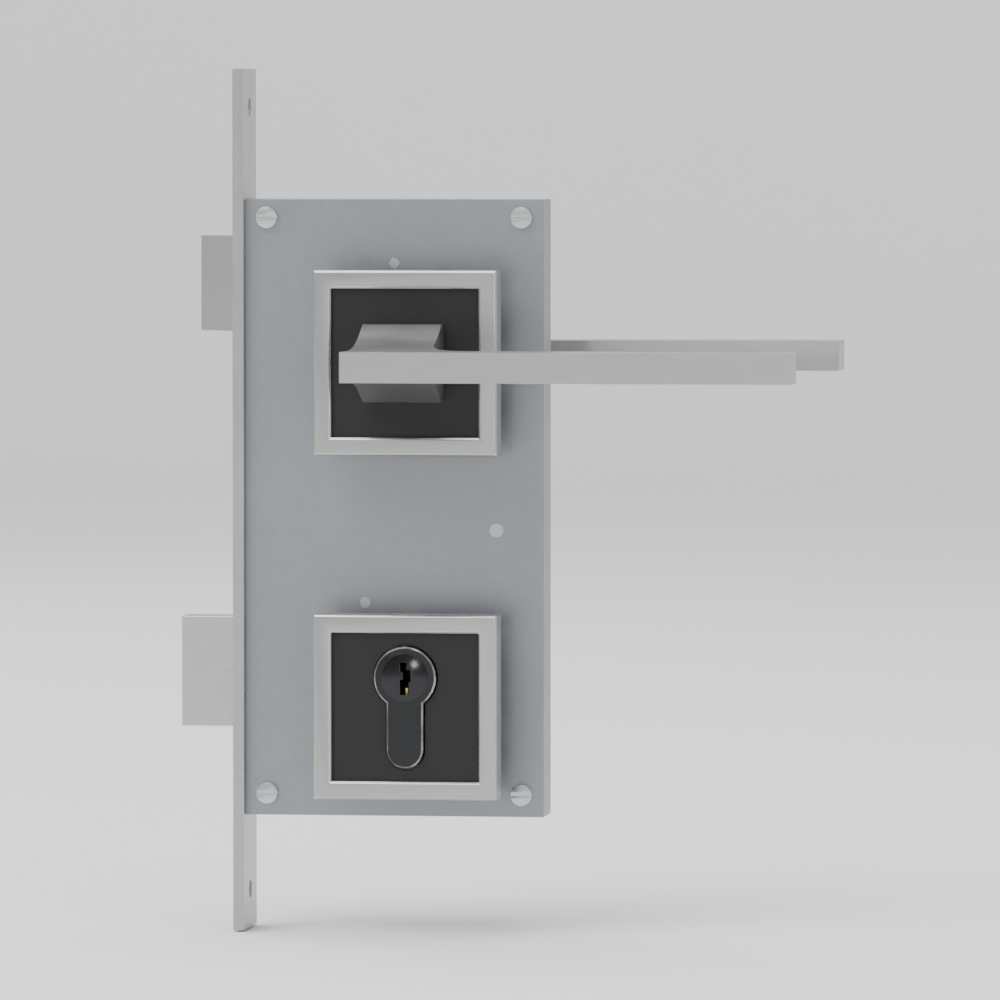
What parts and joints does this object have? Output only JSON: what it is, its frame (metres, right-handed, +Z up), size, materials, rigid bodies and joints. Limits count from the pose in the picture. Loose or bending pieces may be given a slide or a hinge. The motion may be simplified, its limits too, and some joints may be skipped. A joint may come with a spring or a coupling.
{
  "type": "deadbolt door lock",
  "caption": "Mortise sash lock with lever handles on square two-tone roses, square escutcheons, a profile cylinder with a thumb turn, a sprung latch and a deadbolt.",
  "frame": {"origin": "midway between the two forend screw holes, on the forend's outer face and in the middle of the door's thickness", "axes": "+X from the door's edge into the leaf, along the outside lever; -Y out of the door's outside face; +Z up"},
  "size_m": [0.174, 0.15, 0.235],
  "materials": {
    "satin_nickel": "satin nickel plate with a fine brushed grain",
    "black_insert": "satin black nickel plate",
    "base_zinc": "raw die-cast zinc",
    "nylon": "natural nylon",
    "case_steel": "zinc-plated pressed steel",
    "forend_steel": "satin nickel plate, brushed along its length",
    "bolt_nickel": "nickel-plated cast steel",
    "screw_steel": "zinc-plated screws",
    "black_screw": "black oxide",
    "spring_steel": "drawn spring wire",
    "spindle_steel": "drawn steel bar",
    "follower_zinc": "die-cast zinc with a yellowed passivation",
    "cylinder_nickel": "satin black nickel over brass",
    "plug_nickel": "bright black nickel over brass",
    "pin_brass": "turned brass",
    "cam_steel": "sintered steel"
  },
  "bodies": {
    "lock": {"rose_frame_outside": "satin_nickel", "rose_insert_outside": "black_insert", "rose_base_outside": "base_zinc", "lever_bush_outside": "nylon", "escutcheon_frame_outside": "satin_nickel", "escutcheon_insert_outside": "black_insert", "escutcheon_base_outside": "base_zinc", "escutcheon_screws_outside": "screw_steel", "rose_frame_inside": "satin_nickel", "rose_insert_inside": "black_insert", "rose_base_inside": "base_zinc", "lever_bush_inside": "nylon", "escutcheon_frame_inside": "satin_nickel", "escutcheon_insert_inside": "black_insert", "escutcheon_base_inside": "base_zinc", "escutcheon_screws_inside": "screw_steel", "rose_bolts": "screw_steel", "rose_sleeves": "screw_steel", "forend": "forend_steel", "forend_rivets": "forend_steel", "case_body": "case_steel", "case_cover": "case_steel", "case_screws": "screw_steel", "guide_pins": "spindle_steel", "latch_spring": "spring_steel", "follower_bushes": "nylon", "follower_spring": "spring_steel", "tumbler_spring": "spring_steel", "cylinder_body": "cylinder_nickel", "driver_pins": "spindle_steel", "pin_springs": "spring_steel", "chamber_plugs": "pin_brass", "cylinder_screw": "screw_steel"},
    "handle": {"lever_outside": "satin_nickel", "lever_inside": "satin_nickel", "lever_ring_outside": "spring_steel", "lever_ring_inside": "spring_steel", "lever_grub_outside": "black_screw", "lever_grub_inside": "black_screw", "spindle": "spindle_steel", "follower": "follower_zinc"},
    "latch": {"latch_bolt": "bolt_nickel"},
    "bolt": {"deadbolt": "bolt_nickel"},
    "tumbler": {"bolt_tumbler": "cam_steel"},
    "turn": {"inner_plug": "plug_nickel", "thumb_turn": "satin_nickel", "thumb_turn_screw": "black_screw", "cylinder_cam": "cam_steel", "cam_clutch": "cam_steel", "plug_clip_inside": "spring_steel"},
    "plug": {"outer_plug": "plug_nickel", "key_pins": "pin_brass", "plug_clip_outside": "spring_steel"}
  },
  "joints": [
    {"name": "lever_turn", "type": "hinge", "parent": "lock", "child": "handle", "pos_m": [0.05, 0, 0.038], "axis": [0, 1, 0], "range_deg": [0, 45], "stiffness_Nm_per_rad": 0.8, "springref_deg": -34.38, "deforming": ["follower_spring"]},
    {"name": "latch_slide", "type": "slide", "parent": "lock", "child": "latch", "axis": [1, 0, 0], "range_m": [0, 0.0116], "stiffness_N_per_m": 250, "springref_m": -0.02, "deforming": ["latch_spring"]},
    {"name": "thumb_turn_spin", "type": "hinge", "parent": "lock", "child": "turn", "pos_m": [0.05, 0, -0.047], "axis": [0, 1, 0], "range_deg": [0, 360]},
    {"name": "outer_plug_spin", "type": "hinge", "parent": "lock", "child": "plug", "pos_m": [0.05, 0, -0.047], "axis": [0, 1, 0], "range_deg": [0, 360]},
    {"name": "deadbolt_slide", "type": "slide", "parent": "lock", "child": "bolt", "axis": [1, 0, 0], "range_m": [0, 0.0151]},
    {"name": "tumbler_lift", "type": "hinge", "parent": "lock", "child": "tumbler", "pos_m": [0.072, 0, -0.008], "axis": [0, 1, 0], "range_deg": [0, 8], "stiffness_Nm_per_rad": 0.03, "springref_deg": -28.65, "deforming": ["tumbler_spring"]}
  ],
  "couplings": [
    {"joint": "latch_slide", "follows": "lever_turn", "m_per_rad": 0.014642},
    {"joint": "outer_plug_spin", "follows": "thumb_turn_spin", "ratio": 1},
    {"joint": "deadbolt_slide", "follows": "thumb_turn_spin", "m_per_rad": 0.0023873}
  ]
}
